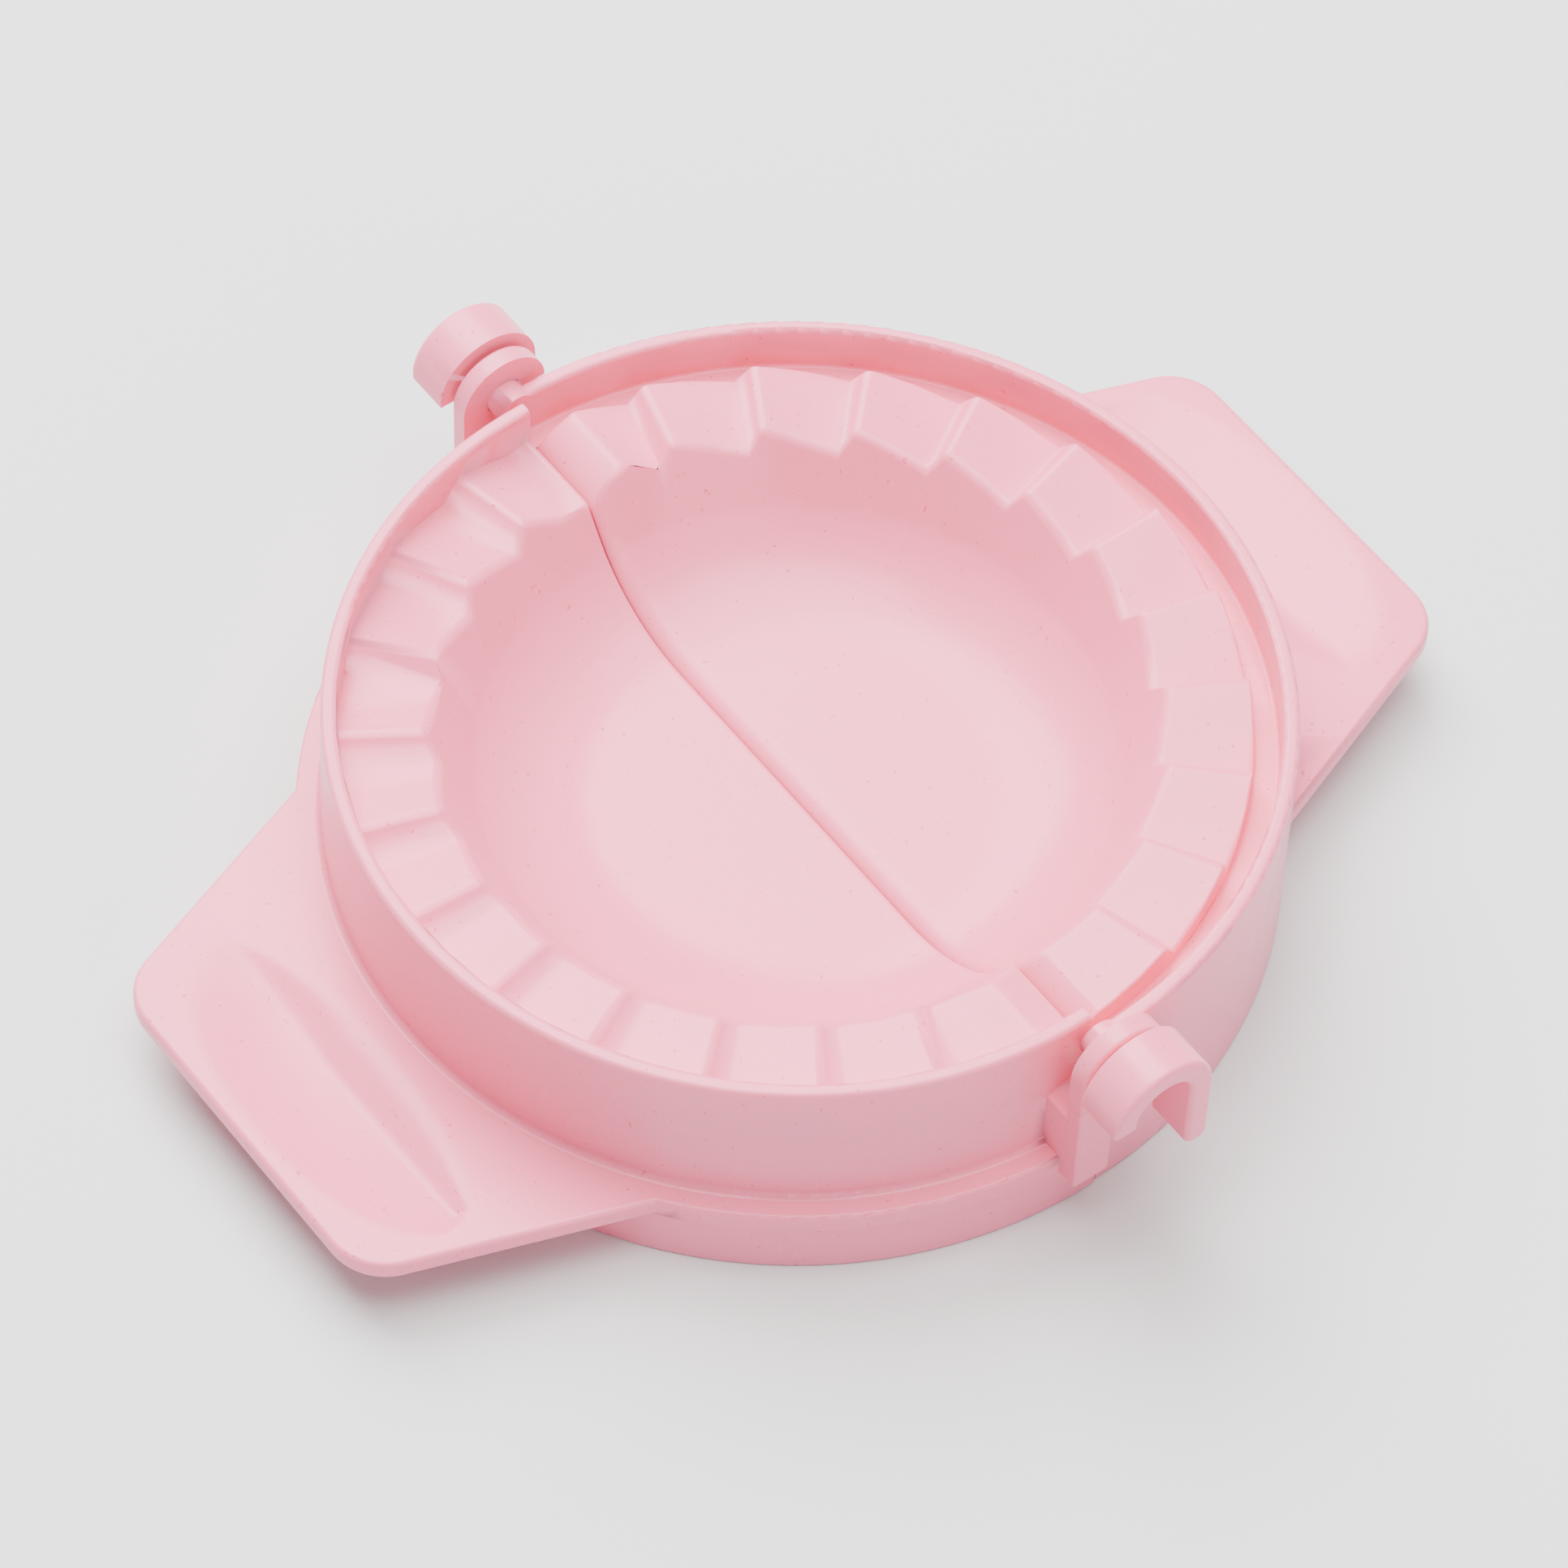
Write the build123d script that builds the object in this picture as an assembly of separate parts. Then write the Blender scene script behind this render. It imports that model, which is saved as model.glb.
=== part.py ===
from build123d import *
import os
from math import cos, radians, sin, sqrt, tan

# Hinged empanada press, opened flat on a table. Millimetres.
# X = 0 is the hinge axis, Y = 0 the middle of the hinge, Z = 0 the table.
# The lower half lies at -X and carries the hinge ears. The upper half lies at +X, carries the
# hinge pins and folds over onto the lower half.

# Placing of the two halves
HINGE_HEIGHT = 23.7
SPLIT_GAP = 0.4
CENTRE_OFFSET = 0.6

# Moulded wall
SHELL = 1.8
RIM_THICKNESS = 1.65
RIM_ROUND = 0.6
EDGE_ROUND = 0.4
FOOT_ROUND = 0.8

# Bowl for the filling, the same in both halves
BOWL_FLOOR = 9.85
BOWL_EDGE_RADIUS = 35.7
BOWL_SLOPE = 58.0
BOWL_CORNER = 16.5

# Crimping teeth: long ramps with a short riser between them
CRIMP_LOW = 21.2
CRIMP_HEIGHT = 2.1
CRIMP_PITCH = 15.0
LOWER_RISER_ANGLE = 3.4
UPPER_RISER_ANGLE = 2.2
UPPER_CRIMP_TURN = 0.3
CRIMP_OUTER_RADIUS = 45.6
CRIMP_CLEARANCE = 0.3

# Rim of the lower half, which enters the groove of the upper half
LOWER_RIM_HEIGHT = 26.1
LOWER_RIM_DRAFT = 0.35
LEDGE_HEIGHT = 9.1
LEDGE_RADIUS = 50.5
PLATE_THICKNESS = 2.4
SKIRT_SET_BACK = 0.15

# Rim of the upper half, which closes round the lower rim
UPPER_RIM_HEIGHT = 25.4
RIM_CLEARANCE = 0.75
UPPER_RIM_DRAFT = 0.15
GROOVE_FLOOR = 19.7

# Last crimp at each end of the split: where its ridge or crease runs, and the heights above
# the low line there and at the split
LOWER_FAR_LINE = 3.5
LOWER_FAR_RISE = 0.3
LOWER_NEAR_LINE = 4.2
LOWER_NEAR_DROP = 1.7
UPPER_FAR_LINE = 4.6
UPPER_NEAR_LINE = 2.6
UPPER_NEAR_RISE = 1.0

# Handle plates and their thumb hollows
HANDLE_REACH = 69.0
HANDLE_END_HALF_WIDTH = 20.9
HANDLE_TAPER = 19.6
HANDLE_CORNER = 6.5
HOLLOW_OUTSIDE = 68.0
HOLLOW_CREASE = 56.7
HOLLOW_INSIDE = 50.4
HOLLOW_OUTER_HALF_LENGTH = 22.5
HOLLOW_INNER_HALF_LENGTH = 24.0
HOLLOW_DEPTH = 2.3
HOLLOW_WALL = 1.7

# Hinge: a C-shaped ear on the lower half at each end, a pin and a knob on the upper half
PIN_RADIUS = 2.1
PIN_CLEARANCE = 0.08
EAR_RADIUS = 5.15
EAR_INNER_FACE = 50.75
EAR_THICKNESS = 2.2
EAR_ROUND = 0.5
EAR_LEG_RIGHT = 0.8
EAR_BLOCK_HEIGHT = 16.7
KNOB_GAP = 0.7
KNOB_LENGTH = 5.4
KNOB_RADIUS = 6.05
KNOB_WALL = 2.7
KNOB_WEB = 1.5
KNOB_LEG = 9.5
KNOB_SHORT_SIDE = 0.6
KNOB_ROUND = 0.6

# Values worked out from the sizes above
CRIMP_HIGH = CRIMP_LOW + CRIMP_HEIGHT
SPLIT_EDGE = SPLIT_GAP / 2
PLATE_BOTTOM = LEDGE_HEIGHT - PLATE_THICKNESS
LOWER_RIM_INNER = CRIMP_OUTER_RADIUS + CRIMP_CLEARANCE
LOWER_RIM_OUTER = LOWER_RIM_INNER + RIM_THICKNESS
UPPER_RIM_INNER = LOWER_RIM_OUTER + RIM_CLEARANCE
UPPER_RIM_OUTER = UPPER_RIM_INNER + RIM_THICKNESS
HANDLE_ROOT = 0.6 * LEDGE_RADIUS
EAR_OUTER_FACE = EAR_INNER_FACE + EAR_THICKNESS
KNOB_INNER_FACE = EAR_OUTER_FACE + KNOB_GAP
KNOB_OUTER_FACE = KNOB_INNER_FACE + KNOB_LENGTH

# Room left around the object for cutting blocks
MARGIN = 3.0
REACH = HANDLE_REACH + 2 * MARGIN


def bowl_radius(height, thickness=0.0):
    """Radius of the sloping bowl wall at a height, or of its underside with a thickness."""
    slope = radians(BOWL_SLOPE)
    return BOWL_EDGE_RADIUS + (height - CRIMP_LOW) / tan(slope) + thickness / sin(slope)


def turned(points, corner_radii):
    """Solid of revolution about Z from an outline of (radius, height) points."""
    outline = FilletPolyline(*[(r, 0, z) for r, z in points], radius=corner_radii, close=True)
    return revolve(make_face(outline), Axis.Z, 360)


def lower_outline():
    """Filled cross-section of the lower half, from the bowl out over the rim to the skirt."""
    top = CRIMP_HIGH + MARGIN / 2
    skirt = LEDGE_RADIUS - SKIRT_SET_BACK
    rim_foot = LOWER_RIM_OUTER + LOWER_RIM_DRAFT
    points = [(0, BOWL_FLOOR), (bowl_radius(BOWL_FLOOR), BOWL_FLOOR), (bowl_radius(top), top),
              (LOWER_RIM_INNER, top), (LOWER_RIM_INNER, LOWER_RIM_HEIGHT),
              (LOWER_RIM_OUTER, LOWER_RIM_HEIGHT), (rim_foot, LEDGE_HEIGHT),
              (LEDGE_RADIUS, LEDGE_HEIGHT), (LEDGE_RADIUS, PLATE_BOTTOM),
              (skirt, PLATE_BOTTOM), (skirt, 0), (0, 0)]
    radii = [0, BOWL_CORNER, 0, 0, RIM_ROUND, RIM_ROUND, FOOT_ROUND, EDGE_ROUND, 0, 0, EDGE_ROUND, 0]
    return points, radii


def lower_void():
    """Cross-section of the hollow underneath the lower half."""
    top = CRIMP_HIGH + MARGIN / 2
    under = BOWL_FLOOR - SHELL
    skirt = LEDGE_RADIUS - SKIRT_SET_BACK - RIM_THICKNESS
    rim_foot = LOWER_RIM_INNER + LOWER_RIM_DRAFT
    points = [(0, -MARGIN), (0, under), (bowl_radius(under, SHELL), under),
              (bowl_radius(top, SHELL), top), (LOWER_RIM_INNER, top),
              (rim_foot, PLATE_BOTTOM), (skirt, PLATE_BOTTOM), (skirt, -MARGIN)]
    radii = [0, 0, BOWL_CORNER + SHELL, 0, 0, 0, EDGE_ROUND, 0]
    return points, radii


def upper_outline():
    """Filled cross-section of the upper half, with the groove round the crimps."""
    top = CRIMP_HIGH + MARGIN / 2
    foot = UPPER_RIM_OUTER + UPPER_RIM_DRAFT
    points = [(0, BOWL_FLOOR), (bowl_radius(BOWL_FLOOR), BOWL_FLOOR), (bowl_radius(top), top),
              (CRIMP_OUTER_RADIUS, top), (CRIMP_OUTER_RADIUS, GROOVE_FLOOR),
              (UPPER_RIM_INNER, GROOVE_FLOOR), (UPPER_RIM_INNER, UPPER_RIM_HEIGHT),
              (UPPER_RIM_OUTER, UPPER_RIM_HEIGHT), (foot, 0), (0, 0)]
    radii = [0, BOWL_CORNER, 0, 0, EDGE_ROUND, EDGE_ROUND, RIM_ROUND, RIM_ROUND, EDGE_ROUND, 0]
    return points, radii


def upper_void():
    """Cross-section of the hollow underneath the upper half."""
    top = CRIMP_HIGH + MARGIN / 2
    under = BOWL_FLOOR - SHELL
    under_groove = GROOVE_FLOOR - SHELL
    inside_crimps = CRIMP_OUTER_RADIUS - SHELL
    foot = UPPER_RIM_INNER + UPPER_RIM_DRAFT
    points = [(0, -MARGIN), (0, under), (bowl_radius(under, SHELL), under),
              (bowl_radius(top, SHELL), top), (inside_crimps, top),
              (inside_crimps, under_groove), (UPPER_RIM_INNER, under_groove), (foot, -MARGIN)]
    radii = [0, 0, BOWL_CORNER + SHELL, 0, 0, 0, EDGE_ROUND, 0]
    return points, radii


def radial_line(side, angle):
    """Ends of a crimp line that points at the circle centre, turned by an angle from +Y."""
    a = radians(angle)
    inner = bowl_radius(0)
    outer = (LOWER_RIM_OUTER + UPPER_RIM_INNER) / 2
    return [(side * (CENTRE_OFFSET + r * sin(a)), r * cos(a)) for r in (inner, outer)]


def split_line(side, distance, end):
    """Ends of a crimp line that runs parallel to the hinge end of the split."""
    inner = bowl_radius(0)
    outer = (LOWER_RIM_OUTER + UPPER_RIM_INNER) / 2
    return [(side * distance, end * r) for r in (inner, outer)]


def beyond_split(side, distance, height, edge_height, end):
    """Crimp line past the split, on the slope that leads from a line to the split edge."""
    slope = (edge_height - height) / (distance - SPLIT_EDGE)
    past = -MARGIN
    return split_line(side, past, end), height + slope * (distance - past)


def lower_lines():
    """Crimp lines of the lower half with their heights, from the +Y end to the -Y end."""
    far_edge = CRIMP_LOW + LOWER_FAR_RISE
    near_edge = CRIMP_HIGH - LOWER_NEAR_DROP
    lines = [beyond_split(-1, LOWER_FAR_LINE, CRIMP_LOW, far_edge, 1),
             (split_line(-1, LOWER_FAR_LINE, 1), CRIMP_LOW)]
    for number in range(1, round(180 / CRIMP_PITCH)):
        angle = number * CRIMP_PITCH
        lines.append((radial_line(-1, angle - LOWER_RISER_ANGLE), CRIMP_HIGH))
        lines.append((radial_line(-1, angle), CRIMP_LOW))
    lines.append((split_line(-1, LOWER_NEAR_LINE, -1), CRIMP_HIGH))
    lines.append(beyond_split(-1, LOWER_NEAR_LINE, CRIMP_HIGH, near_edge, -1))
    return lines


def upper_lines():
    """Crimp lines of the upper half with their heights, from the +Y end to the -Y end."""
    near_height = CRIMP_LOW + UPPER_NEAR_RISE
    lines = [beyond_split(1, UPPER_FAR_LINE, CRIMP_HIGH, CRIMP_LOW, 1),
             (split_line(1, UPPER_FAR_LINE, 1), CRIMP_HIGH)]
    for number in range(1, round(180 / CRIMP_PITCH)):
        angle = number * CRIMP_PITCH + UPPER_CRIMP_TURN
        lines.append((radial_line(1, angle - UPPER_RISER_ANGLE), CRIMP_LOW))
        lines.append((radial_line(1, angle), CRIMP_HIGH))
    lines.append((split_line(1, UPPER_NEAR_LINE, -1), near_height))
    lines.append(beyond_split(1, UPPER_NEAR_LINE, near_height, CRIMP_LOW, -1))
    return lines


def above_crimps(lines, drop=0.0):
    """Block of air over the crimps, or over their underside when dropped by the shell."""
    ceiling = LOWER_RIM_HEIGHT + MARGIN
    sections = []
    for ((x0, y0), (x1, y1)), height in lines:
        low = height - drop
        corners = [(x0, y0, low), (x1, y1, low), (x1, y1, ceiling), (x0, y0, ceiling)]
        sections.append(make_face(Polyline(*corners, close=True)))
    return loft(sections, ruled=True)


def handle_plate(side):
    """Flat tapering handle with round corners, running into the body."""
    root_half_width = HANDLE_END_HALF_WIDTH + (HANDLE_REACH - HANDLE_ROOT) * tan(radians(HANDLE_TAPER))
    corners = [(side * HANDLE_ROOT, root_half_width), (side * HANDLE_REACH, HANDLE_END_HALF_WIDTH),
               (side * HANDLE_REACH, -HANDLE_END_HALF_WIDTH), (side * HANDLE_ROOT, -root_half_width)]
    outline = FilletPolyline(*corners, radius=[0, HANDLE_CORNER, HANDLE_CORNER, 0], close=True)
    plate = extrude(Pos(0, 0, PLATE_BOTTOM) * make_face(outline), PLATE_THICKNESS, dir=(0, 0, 1))
    rims = plate.edges().filter_by(Axis.Z, reverse=True)
    return fillet(rims, PLATE_THICKNESS / 4)


def flat_ellipsoid(centre, half_width, half_length, depth):
    """Ellipsoid centred on the top of the handle plate, with its poles along Y."""
    ball = Rot(90, 0, 0) * Sphere(1)
    return Pos(centre, 0, LEDGE_HEIGHT) * scale(ball, by=(half_width, half_length, depth))


def hollow_dish(side, extra=0.0):
    """What two flat ellipsoids share: a long outer slope that meets a short inner one in a crease."""
    long_slope = HOLLOW_OUTSIDE - HOLLOW_CREASE
    width = HOLLOW_OUTSIDE - HOLLOW_INSIDE
    inner_depth = HOLLOW_DEPTH / sqrt(1 - (long_slope / width) ** 2)
    outer = flat_ellipsoid(side * HOLLOW_CREASE, long_slope + extra,
                           HOLLOW_OUTER_HALF_LENGTH + extra, HOLLOW_DEPTH + extra)
    inner = flat_ellipsoid(side * HOLLOW_OUTSIDE, width + extra,
                           HOLLOW_INNER_HALF_LENGTH + extra, inner_depth + extra)
    return outer & inner


def handle(side):
    """Handle plate with a thumb hollow, which bulges out underneath at the plate's thickness."""
    plate = handle_plate(side)
    below_top = Pos(0, 0, PLATE_BOTTOM - MARGIN) * Box(2 * REACH, REACH, 2 * MARGIN)
    plate += hollow_dish(side, HOLLOW_WALL) & below_top
    return plate - hollow_dish(side)


def half_space(side):
    """Everything on one side of the split."""
    return Pos(side * (SPLIT_EDGE + REACH / 2), 0, 0) * Box(REACH, 2 * REACH, 4 * HINGE_HEIGHT)


def half_shell(side, outline, void, lines, crimp_limit):
    """One moulded half without its hinge parts."""
    centre = Pos(side * CENTRE_OFFSET, 0, 0)
    body = centre * turned(*outline)
    limit = centre * Pos(0, 0, HINGE_HEIGHT) * Cylinder(crimp_limit, 2 * HINGE_HEIGHT)
    body -= above_crimps(lines) & limit
    body += handle(side)
    body -= (centre * turned(*void)) - above_crimps(lines, SHELL)
    return body & half_space(side)


def upright(left, right, low, high):
    """Rectangle in a hinge profile, with its sides measured from the hinge axis."""
    return Pos((left + right) / 2, (low + high) / 2) * Rectangle(right - left, high - low)


def across_hinge(profile, end, near, far):
    """Extrude a profile drawn round the hinge axis from one distance to another along Y."""
    start = far if end > 0 else -near
    plane = Plane(origin=(0, start, HINGE_HEIGHT), x_dir=(1, 0, 0), z_dir=(0, -1, 0))
    return extrude(plane * profile, far - near)


def round_outer_end(solid, end, radius):
    """Round the edges of the face that looks away from the middle of the hinge."""
    outer_face = solid.faces().sort_by(Axis.Y)[-1 if end > 0 else 0]
    return fillet(outer_face.outer_wire().edges(), radius)


def ear(end):
    """C-shaped ear open at the lower right, on a leg and a block that tie it to the rim."""
    foot = PLATE_BOTTOM - HINGE_HEIGHT
    leg = upright(-EAR_RADIUS, -EAR_LEG_RIGHT, foot, 0)
    mouth = upright(-EAR_LEG_RIGHT, EAR_RADIUS, -EAR_RADIUS, 0)
    profile = Circle(EAR_RADIUS) - mouth + leg - Circle(PIN_RADIUS + PIN_CLEARANCE)
    plate = round_outer_end(across_hinge(profile, end, EAR_INNER_FACE, EAR_OUTER_FACE), end, EAR_ROUND)
    block = upright(-EAR_RADIUS, -EAR_LEG_RIGHT, foot, EAR_BLOCK_HEIGHT - HINGE_HEIGHT)
    inside_rim = LOWER_RIM_OUTER - RIM_THICKNESS / 2
    return plate + across_hinge(block, end, inside_rim, EAR_INNER_FACE + EAR_THICKNESS / 2)


def pin_and_knob(end):
    """Pin through the ear, with an arched knob on its end that has one long leg."""
    inside = KNOB_RADIUS - KNOB_WALL
    leg = upright(inside, KNOB_RADIUS, -KNOB_LEG, 0)
    leg = fillet(leg.vertices().group_by(Axis.Y)[0], KNOB_WALL / 2 - EDGE_ROUND)
    outline = Circle(KNOB_RADIUS) + leg
    opening = Circle(inside) + upright(-inside, inside, -KNOB_LEG, 0)
    short_side = upright(-KNOB_RADIUS, -inside, -KNOB_RADIUS, -KNOB_SHORT_SIDE)
    arch = across_hinge(outline - opening - short_side, end, KNOB_INNER_FACE, KNOB_OUTER_FACE)
    arch = round_outer_end(arch, end, KNOB_ROUND)
    below = upright(-KNOB_RADIUS, inside, -KNOB_LEG, -KNOB_SHORT_SIDE)
    web_profile = outline - below + Circle(PIN_RADIUS + EDGE_ROUND)
    web = across_hinge(web_profile, end, KNOB_INNER_FACE, KNOB_INNER_FACE + KNOB_WEB)
    pin = across_hinge(Circle(PIN_RADIUS), end, UPPER_RIM_INNER, KNOB_INNER_FACE + KNOB_WEB / 2)
    return arch + web + pin


def main():
    os.makedirs("parts", exist_ok=True)
    lower = half_shell(-1, lower_outline(), lower_void(), lower_lines(), LOWER_RIM_INNER)
    upper = half_shell(1, upper_outline(), upper_void(), upper_lines(), CRIMP_OUTER_RADIUS + MARGIN / 3)
    for end in (1, -1):
        lower += ear(end)
        upper += pin_and_knob(end)
    export_step(lower, "parts/lower_half.step")
    export_step(upper, "parts/upper_half.step")


main()
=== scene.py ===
import bmesh
import bpy
from math import cos, hypot, pi, radians, sin, sqrt
from mathutils import Matrix, Vector


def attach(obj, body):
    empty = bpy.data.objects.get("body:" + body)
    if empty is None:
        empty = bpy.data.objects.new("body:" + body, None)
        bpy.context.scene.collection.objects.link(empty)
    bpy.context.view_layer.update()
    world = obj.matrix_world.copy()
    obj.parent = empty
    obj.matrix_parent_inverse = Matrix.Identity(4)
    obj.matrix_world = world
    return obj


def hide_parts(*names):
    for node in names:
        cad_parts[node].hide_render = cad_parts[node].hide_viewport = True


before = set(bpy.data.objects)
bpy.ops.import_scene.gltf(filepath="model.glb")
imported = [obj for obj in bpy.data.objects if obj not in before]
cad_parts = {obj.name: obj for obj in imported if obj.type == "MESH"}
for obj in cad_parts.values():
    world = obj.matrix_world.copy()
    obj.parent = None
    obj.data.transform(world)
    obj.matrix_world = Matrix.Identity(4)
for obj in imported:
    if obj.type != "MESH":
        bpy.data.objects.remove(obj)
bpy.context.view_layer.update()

# Hinged press for folded pies in pink plastic, opened flat. The object is in metres, with the
# hinge axis over X = 0. The sizes below are in millimetres unless a comment says otherwise, and
# angles are in degrees. "Out" is the distance from the hinge axis, "along" that along the axis.
MM = 0.001

# Camera, fitted to the rims, crimps, handle corners and hinges of the photograph
CAMERA_AZIMUTH = -39.084
CAMERA_ELEVATION = 53.735
CAMERA_ROLL = 2.629
CAMERA_DISTANCE = 740.42
CAMERA_TARGET = (-3.885, -2.928, 18.093)
FOCAL_PIXELS = 9049.16
PHOTO_PIXELS = 1932
SENSOR = 36.0

# Studio: names, places and sizes in metres, powers in watts
SKY_STRENGTH = 0.42
LIGHTS = (
    ("key_light", (0.1, 0.62, 0.78), 0.8, 30.0),
    ("top_light", (0.05, -0.05, 1.05), 0.8, 22.0),
    ("front_light", (-0.15, -0.9, 0.4), 0.5, 3.4),
)
LIT_MIDDLE = (0, 0, 0.01)
FLOOR_HALF_SIZE = 3
FLOOR_DARK = (0.66, 0.66, 0.66)
FLOOR_LIGHT = (0.68, 0.68, 0.68)

# Colours of the plastic, deeper than they look because the view transform pales them
DEEP_PINK = (0.90, 0.20, 0.315)
LIGHT_PINK = (0.915, 0.22, 0.335)
SPECK_PINK = (0.74, 0.12, 0.19)
GLOSSIEST = 0.25
DULLEST = 0.31

# Where the crimps lie, in both halves
CENTRE_OFFSET = 0.6
CRIMP_BOTTOM = 20.6
CRIMP_TOP = 23.8
CRIMP_INSIDE = 33.5
CRIMP_OUTSIDE = 46.5

# Joining of the loose triangles: angles between faces, and where the crimps' faces are joined
WELD = 1e-6
FLAT_JOIN = 0.5
CRIMP_JOIN = 4.0
JOIN_INSIDE = 33.0
JOIN_BOTTOM = 15
STRAY_REACH = 44.5

# How far the crimps' edges are rounded back from their corners, and how an edge is told by
# its length in or out, its rise and its place
RIDGE_ROUND = 0.7
BOWL_EDGE_ROUND = 0.8
OUTER_EDGE_ROUND = 0.3
OUTER_CORNER_ROUND = 0.8
WIDEST_ROUND = max(RIDGE_ROUND, BOWL_EDGE_ROUND, OUTER_EDGE_ROUND, OUTER_CORNER_ROUND)
ROUND_SEGMENTS = 3
SHARP_CORNER = 20.0
RIDGE_LENGTH = 3
BOWL_EDGE_REACH = 38
CORNER_RISE = 1.5
SPLIT_SIDE_REACH = 3
SHADING_ANGLE = 35.0

# Rounded edge along the split of the bowl: width across it and drop at the edge
SPLIT_EDGE = 0.2
SPLIT_MARGIN = 0.05
LOWER_SPLIT_ROUND = (0.5, 0.35)
UPPER_SPLIT_ROUND = (2.6, 1.5)
SPLIT_SEGMENTS = 6
SPLIT_REACH = 46.3
SPLIT_END_REACH = 44.0
SPLIT_END_HEIGHT = 20.2
SPLIT_TOP = 24.0

# How much of a face has to look up, for its being cut and for its being lowered
CUT_SLOPE = 0.02
TOP_SLOPE = 0.3

# Handle plates, their ledges and the plain hollows of the CAD plates
PLATE_TOP = 9.1
PLATE_FLATNESS = 0.003
PLATE_NEARNESS = 0.01
PLATE_SLOPE = 0.99
LEDGE_RADIUS = 50.5
LEDGE_MARGIN = 0.6
PLAIN_HOLLOW_MIDDLE = 59.2
PLAIN_HOLLOW_HALF_WIDTH = 9.15
PLAIN_HOLLOW_HALF_LENGTH = 23.2
PLAIN_HOLLOW_DEPTH = 2.35

# Thumb hollows: an outer slope and an inner one that meet in a crease
HOLLOW_MIDDLE = 59.3
HOLLOW_HALF_WIDTH = 8.8
HOLLOW_HALF_LENGTH = 21.3
HOLLOW_SHIFT = 0.8
HOLLOW_CREASE = 56.7
HOLLOW_DEPTH = 2.25
HOLLOW_LIP = 0.35
OUTER_SLOPE_CURVE = 1.7
END_CURVE = 0.8
SOFT_START = 2
SOFT_LENGTH = 12

# Fine grid that the hollows are pressed into
GRID_INSIDE = 50.6
GRID_OUTSIDE = 68.3
GRID_HALF_LENGTH = 22.5
GRID_STEP = 0.75
CUT_NEARNESS = 1e-7


def photo_camera():
    """Camera at the photograph's place and angle."""
    azimuth = radians(CAMERA_AZIMUTH)
    elevation = radians(CAMERA_ELEVATION)
    roll = radians(CAMERA_ROLL)
    back = Vector((sin(azimuth) * cos(elevation), -cos(azimuth) * cos(elevation),
                   sin(elevation)))
    level_right = (-back).cross(Vector((0, 0, 1))).normalized()
    level_up = level_right.cross(-back)
    right = cos(roll) * level_right + sin(roll) * level_up
    up = -sin(roll) * level_right + cos(roll) * level_up
    data = bpy.data.cameras.new("photo_camera")
    data.sensor_width = SENSOR
    data.lens = FOCAL_PIXELS / PHOTO_PIXELS * SENSOR
    data.clip_start = 0.01
    camera = bpy.data.objects.new("photo_camera", data)
    turn = Matrix((right, up, back)).transposed()
    place = (Vector(CAMERA_TARGET) + back * CAMERA_DISTANCE) * MM
    camera.matrix_world = Matrix.Translation(place) @ turn.to_4x4()
    bpy.context.collection.objects.link(camera)
    bpy.context.scene.camera = camera


def soft_light(name, place, size, power):
    """Square soft box at a place in metres, turned to the object's middle."""
    data = bpy.data.lights.new(name, "AREA")
    data.shape = "SQUARE"
    data.size = size
    data.energy = power
    light = bpy.data.objects.new(name, data)
    light.location = place
    aim = Vector(LIT_MIDDLE) - Vector(place)
    light.rotation_euler = aim.to_track_quat("-Z", "Y").to_euler()
    light.visible_camera = False
    bpy.context.collection.objects.link(light)


def studio():
    """Pale sky and soft boxes: the key light comes from above and behind."""
    world = bpy.data.worlds.new("studio_sky")
    world.use_nodes = True
    sky = world.node_tree.nodes["Background"]
    sky.inputs["Color"].default_value = (1.0, 1.0, 1.0, 1)
    sky.inputs["Strength"].default_value = SKY_STRENGTH
    bpy.context.scene.world = world
    for name, place, size, power in LIGHTS:
        soft_light(name, place, size, power)


class Nodes:
    """Short way to build a material's nodes."""

    def __init__(self, name):
        self.material = bpy.data.materials.new(name)
        self.material.use_nodes = True
        self.tree = self.material.node_tree
        self.shader = self.tree.nodes["Principled BSDF"]
        self.place = self.add("ShaderNodeTexCoord").outputs["Object"]

    def add(self, kind, **settings):
        node = self.tree.nodes.new(kind)
        for key, value in settings.items():
            setattr(node, key, value)
        return node

    def join(self, output, target):
        self.tree.links.new(output, target)

    def noise(self, scale, detail):
        """Soft noise; scale is roughly how many waves it has in a metre."""
        node = self.add("ShaderNodeTexNoise")
        node.inputs["Scale"].default_value = scale
        node.inputs["Detail"].default_value = detail
        node.inputs["Roughness"].default_value = 0.5
        self.join(self.place, node.inputs["Vector"])
        return node.outputs["Fac"]

    def spread(self, value, low, high, to_low, to_high):
        """Value taken from the range low to high to the range to_low to to_high."""
        node = self.add("ShaderNodeMapRange")
        for number, setting in enumerate((low, high, to_low, to_high), start=1):
            node.inputs[number].default_value = setting
        self.join(value, node.inputs[0])
        return node.outputs[0]

    def mix(self, factor, first, second):
        """Blend of two colours, each a plain colour or another node's output."""
        node = self.add("ShaderNodeMix", data_type="RGBA")
        self.join(factor, node.inputs[0])
        for socket, colour in ((node.inputs[6], first), (node.inputs[7], second)):
            if isinstance(colour, tuple):
                socket.default_value = (*colour, 1)
            else:
                self.join(colour, socket)
        return node.outputs[2]


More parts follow.
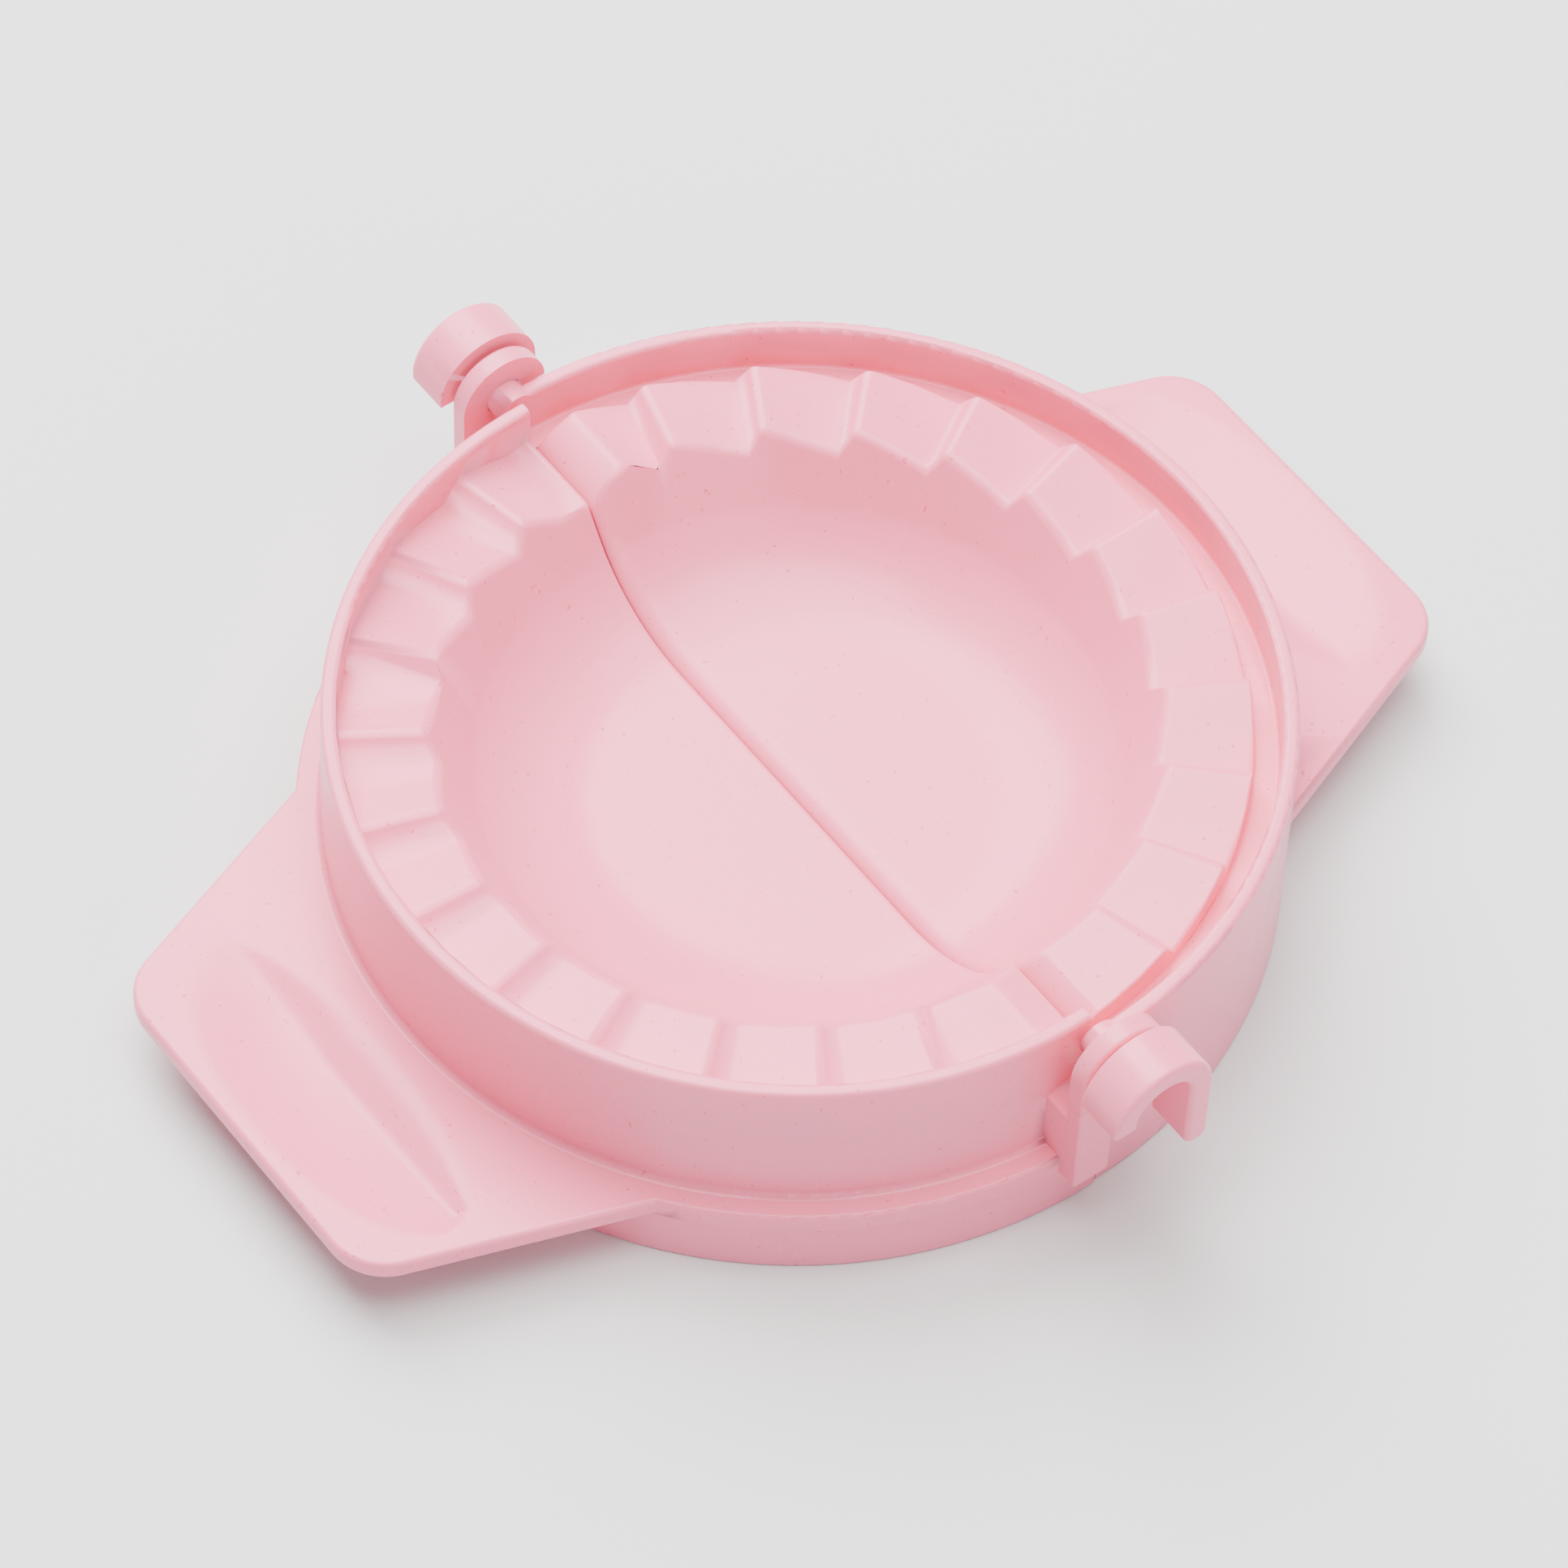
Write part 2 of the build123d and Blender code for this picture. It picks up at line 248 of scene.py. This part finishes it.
def pink_plastic():
    """Semi-gloss moulded plastic: faint clouding, fine specks, slightly see-through."""
    nodes = Nodes("pink_moulded_plastic")
    clouds = nodes.spread(nodes.noise(28, 3), 0.2, 0.8, 0, 1)
    base = nodes.mix(clouds, DEEP_PINK, LIGHT_PINK)
    specks = nodes.spread(nodes.noise(1500, 1), 0.72, 0.78, 0, 1)
    coloured = nodes.mix(specks, base, SPECK_PINK)
    nodes.join(coloured, nodes.shader.inputs["Base Color"])
    patches = nodes.spread(nodes.noise(60, 2), 0.1, 0.9, GLOSSIEST, DULLEST)
    nodes.join(patches, nodes.shader.inputs["Roughness"])
    bump = nodes.add("ShaderNodeBump")
    bump.inputs["Strength"].default_value = 0.12
    bump.inputs["Distance"].default_value = 0.00008
    nodes.join(nodes.noise(1100, 2), bump.inputs["Height"])
    nodes.join(bump.outputs["Normal"], nodes.shader.inputs["Normal"])
    nodes.shader.inputs["IOR"].default_value = 1.49
    nodes.shader.inputs["Specular IOR Level"].default_value = 0.35
    nodes.shader.inputs["Subsurface Weight"].default_value = 0.25
    nodes.shader.inputs["Subsurface Radius"].default_value = (1.0, 0.28, 0.26)
    nodes.shader.inputs["Subsurface Scale"].default_value = 0.0022
    return nodes.material


def pale_floor():
    """Plain pale floor under the press."""
    mesh = bpy.data.meshes.new("pale_floor")
    shape = bmesh.new()
    bmesh.ops.create_grid(shape, x_segments=1, y_segments=1, size=FLOOR_HALF_SIZE)
    shape.to_mesh(mesh)
    shape.free()
    floor = bpy.data.objects.new("pale_floor", mesh)
    bpy.context.collection.objects.link(floor)
    nodes = Nodes("pale_floor")
    tone = nodes.spread(nodes.noise(2, 2), 0.3, 0.7, 0, 1)
    grey = nodes.mix(tone, FLOOR_DARK, FLOOR_LIGHT)
    nodes.join(grey, nodes.shader.inputs["Base Color"])
    nodes.shader.inputs["Roughness"].default_value = 0.8
    mesh.materials.append(nodes.material)


def bowl_radius(out, along):
    """Distance from the middle of a half's round bowl."""
    return hypot(out - CENTRE_OFFSET, along)


def all_verts(faces):
    """Vertices of some faces, each once, in a fixed order."""
    return list(dict.fromkeys(vert for face in faces for vert in face.verts))


def crimp_rounding(edge):
    """How far a sharp outside edge of the crimps is rounded back, or 0 elsewhere."""
    if len(edge.link_faces) != 2 or not edge.is_convex:
        return 0
    if edge.calc_face_angle(0) < radians(SHARP_CORNER):
        return 0
    ends = [vert.co / MM for vert in edge.verts]
    outs = [abs(end.x) for end in ends]
    radii = [bowl_radius(abs(end.x), end.y) for end in ends]
    heights = [end.z for end in ends]
    if min(heights) < CRIMP_BOTTOM or max(heights) > CRIMP_TOP:
        return 0
    if min(radii) < CRIMP_INSIDE or max(radii) > CRIMP_OUTSIDE:
        return 0
    if min(outs) < SPLIT_EDGE + SPLIT_MARGIN and max(outs) < SPLIT_SIDE_REACH:
        return 0
    if max(radii) - min(radii) > RIDGE_LENGTH:
        return RIDGE_ROUND
    if max(radii) < BOWL_EDGE_REACH:
        return BOWL_EDGE_ROUND
    if max(heights) - min(heights) > CORNER_RISE:
        return OUTER_CORNER_ROUND
    return OUTER_EDGE_ROUND


def hollow_depth(out, along):
    """Depth of a thumb hollow at a place on the plate. Its slopes grow softer to one end."""
    narrowing = sqrt(max(0, 1 - ((along + HOLLOW_SHIFT) / HOLLOW_HALF_LENGTH) ** 2))
    outside = HOLLOW_MIDDLE + HOLLOW_HALF_WIDTH * narrowing
    inside = HOLLOW_MIDDLE - HOLLOW_HALF_WIDTH * narrowing
    crease = max(HOLLOW_CREASE, inside)
    if not inside < out < outside:
        return 0
    softness = min(1, max(0, (along - SOFT_START) / SOFT_LENGTH))
    if out > crease:
        share = ((out - crease) / (outside - crease)) ** OUTER_SLOPE_CURVE
    else:
        share = sin((crease - out) / (crease - inside) * pi / 2) ** (1 + softness)
    depth = HOLLOW_DEPTH * narrowing ** (END_CURVE + softness) * (1 - share)
    return hypot(depth, HOLLOW_LIP) - HOLLOW_LIP


def plate_faces(shape, side):
    """Faces of the handle's flat top in the rectangle that holds the hollow."""
    found = []
    for face in shape.faces:
        middle = face.calc_center_median() / MM
        if abs(middle.z - PLATE_TOP) < PLATE_NEARNESS and face.normal.z > PLATE_SLOPE:
            inside = GRID_INSIDE < side * middle.x < GRID_OUTSIDE
            if inside and abs(middle.y) < GRID_HALF_LENGTH:
                found.append(face)
    return found


def cut_across(shape, faces, place, direction):
    """Cut faces along a plane and give back all the pieces."""
    geometry = list(faces)
    geometry += dict.fromkeys(edge for face in faces for edge in face.edges)
    geometry += all_verts(faces)
    cut = bmesh.ops.bisect_plane(shape, geom=geometry, plane_co=place, plane_no=direction,
                                 dist=CUT_NEARNESS)
    return [part for part in cut["geom"] if isinstance(part, bmesh.types.BMFace)]


def fill_plain_hollow(shape, side):
    """Raise the CAD plate's plain hollow to the plate's top and join that top's faces."""
    for vert in shape.verts:
        out, along, height = side * vert.co.x / MM, vert.co.y / MM, vert.co.z / MM
        in_plain_hollow = hypot((out - PLAIN_HOLLOW_MIDDLE) / PLAIN_HOLLOW_HALF_WIDTH,
                                along / PLAIN_HOLLOW_HALF_LENGTH) < 1
        if in_plain_hollow and PLATE_TOP - PLAIN_HOLLOW_DEPTH < height < PLATE_TOP:
            if bowl_radius(out, along) > LEDGE_RADIUS - LEDGE_MARGIN:
                vert.co.z = PLATE_TOP * MM
    bmesh.ops.dissolve_degenerate(shape, dist=WELD, edges=shape.edges)
    top = [face for face in shape.faces
           if all(abs(vert.co.z / MM - PLATE_TOP) < PLATE_FLATNESS for vert in face.verts)
           and side * face.calc_center_median().x > 0]
    return bmesh.ops.dissolve_faces(shape, faces=top)["region"]


def press_hollow(shape, side, end):
    """Divide the plate's top into a fine grid and press the thumb hollow into it."""
    faces = fill_plain_hollow(shape, side)
    for out in (GRID_INSIDE, GRID_OUTSIDE):
        faces = cut_across(shape, faces, (side * out * MM, 0, 0), (1, 0, 0))
    for along in (-GRID_HALF_LENGTH, GRID_HALF_LENGTH):
        faces = cut_across(shape, faces, (0, along * MM, 0), (0, 1, 0))
    faces = plate_faces(shape, side)
    first = round((GRID_INSIDE - HOLLOW_CREASE) / GRID_STEP) + 1
    last = round((GRID_OUTSIDE - HOLLOW_CREASE) / GRID_STEP)
    for step in range(first, last):
        out = HOLLOW_CREASE + step * GRID_STEP
        faces = cut_across(shape, faces, (side * out * MM, 0, 0), (1, 0, 0))
    rows = round(GRID_HALF_LENGTH / GRID_STEP)
    for row in range(1 - rows, rows):
        faces = cut_across(shape, faces, (0, row * GRID_STEP * MM, 0), (0, 1, 0))
    for vert in all_verts(faces):
        out, along = side * vert.co.x / MM, vert.co.y / MM
        depth = hollow_depth(out, end * along)
        if side < 0:
            clear = (bowl_radius(out, along) - LEDGE_RADIUS) / LEDGE_MARGIN
            depth *= min(1, max(0, clear))
        vert.co.z -= depth * MM


def round_split(mesh, side, width, drop):
    """Round the bowl's edge along the split by lowering it like a quarter ellipse."""
    shape = bmesh.new()
    shape.from_mesh(mesh)
    faces = []
    for face in shape.faces:
        middle = face.calc_center_median() / MM
        nearest = min(side * vert.co.x for vert in face.verts) / MM
        near_split = 0 < nearest < SPLIT_EDGE + width and face.normal.z > CUT_SLOPE
        if near_split and bowl_radius(side * middle.x, middle.y) < SPLIT_REACH:
            faces.append(face)
    for step in range(1, SPLIT_SEGMENTS + 1):
        across = 1 - cos(step / SPLIT_SEGMENTS * pi / 2)
        place = side * (SPLIT_EDGE + width * across) * MM
        faces = cut_across(shape, faces, (place, 0, 0), (1, 0, 0))
    for vert in all_verts(face for face in faces if face.normal.z > TOP_SLOPE):
        out, along, height = side * vert.co.x / MM, vert.co.y / MM, vert.co.z / MM
        across = (out - SPLIT_EDGE) / width
        reach = SPLIT_REACH if height > SPLIT_END_HEIGHT else SPLIT_END_REACH
        if across < 1 and height < SPLIT_TOP and bowl_radius(out, along) < reach:
            vert.co.z -= drop * (1 - sqrt(1 - (1 - max(0, across)) ** 2)) * MM
    shape.to_mesh(mesh)
    shape.free()


def join_crimp_faces(shape):
    """Join the narrow faces of the crimps, so that their edges can be rounded."""
    zone = []
    for vert in shape.verts:
        out, along, height = abs(vert.co.x) / MM, vert.co.y / MM, vert.co.z / MM
        near_crimps = JOIN_INSIDE < bowl_radius(out, along) < CRIMP_OUTSIDE
        if near_crimps and height > JOIN_BOTTOM and out > SPLIT_EDGE + SPLIT_MARGIN:
            zone.append(vert)
    inner = set(zone)
    edges = [edge for edge in shape.edges if inner.issuperset(edge.verts)]
    bmesh.ops.dissolve_limit(shape, angle_limit=radians(CRIMP_JOIN), verts=zone, edges=edges)
    bmesh.ops.dissolve_verts(shape, verts=[vert for vert in zone if is_stray(vert)])


def is_stray(vert):
    """Whether a vertex is left over in the middle of a joined crimp face."""
    if not vert.is_valid or len(vert.link_edges) != 2:
        return False
    if any(edge.calc_face_angle(0) >= radians(SHARP_CORNER) for edge in vert.link_edges):
        return False
    within_crimps = bowl_radius(abs(vert.co.x) / MM, vert.co.y / MM) < STRAY_REACH
    return within_crimps and CRIMP_BOTTOM < vert.co.z / MM < CRIMP_TOP


def rounded_edges(piece):
    """Mesh of a piece with its weighted edges rounded."""
    bevel = piece.modifiers.new("rounded_edges", "BEVEL")
    bevel.limit_method = "WEIGHT"
    bevel.width = WIDEST_ROUND * MM
    bevel.segments = ROUND_SEGMENTS
    bevel.profile = 0.5
    bevel.material = -1
    bevel.miter_outer = "MITER_ARC"
    bevel.use_clamp_overlap = False
    evaluated = piece.evaluated_get(bpy.context.evaluated_depsgraph_get())
    finished = bpy.data.meshes.new_from_object(evaluated)
    piece.modifiers.clear()
    return finished


def moulding(node, side, split_round, plastic):
    """Finished copy of a half: triangles joined, thumb hollow pressed in, edges rounded."""
    shape = bmesh.new()
    shape.from_mesh(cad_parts[node].data)
    bmesh.ops.remove_doubles(shape, verts=shape.verts, dist=WELD)
    bmesh.ops.dissolve_limit(shape, angle_limit=radians(FLAT_JOIN), verts=shape.verts,
                             edges=shape.edges)
    join_crimp_faces(shape)
    press_hollow(shape, side, -side)
    weight = shape.edges.layers.float.new("bevel_weight_edge")
    for edge in shape.edges:
        edge[weight] = crimp_rounding(edge) / WIDEST_ROUND
    mesh = bpy.data.meshes.new(node + "_moulding")
    shape.to_mesh(mesh)
    shape.free()
    piece = bpy.data.objects.new(node + "_moulding", mesh)
    bpy.context.collection.objects.link(piece)
    piece.data = rounded_edges(piece)
    round_split(piece.data, side, *split_round)
    piece.data.shade_smooth()
    piece.data.set_sharp_from_angle(angle=radians(SHADING_ANGLE))
    normals = piece.modifiers.new("flat_faces_stay_flat", "WEIGHTED_NORMAL")
    normals.keep_sharp = True
    piece.data.materials.clear()
    piece.data.materials.append(plastic)
    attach(piece, node)
    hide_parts(node)


photo_camera()
studio()
pale_floor()
plastic = pink_plastic()
for node in ("lower_half", "upper_half"):
    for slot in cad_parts[node].material_slots:
        slot.material = plastic
moulding("lower_half", -1, LOWER_SPLIT_ROUND, plastic)
moulding("upper_half", 1, UPPER_SPLIT_ROUND, plastic)
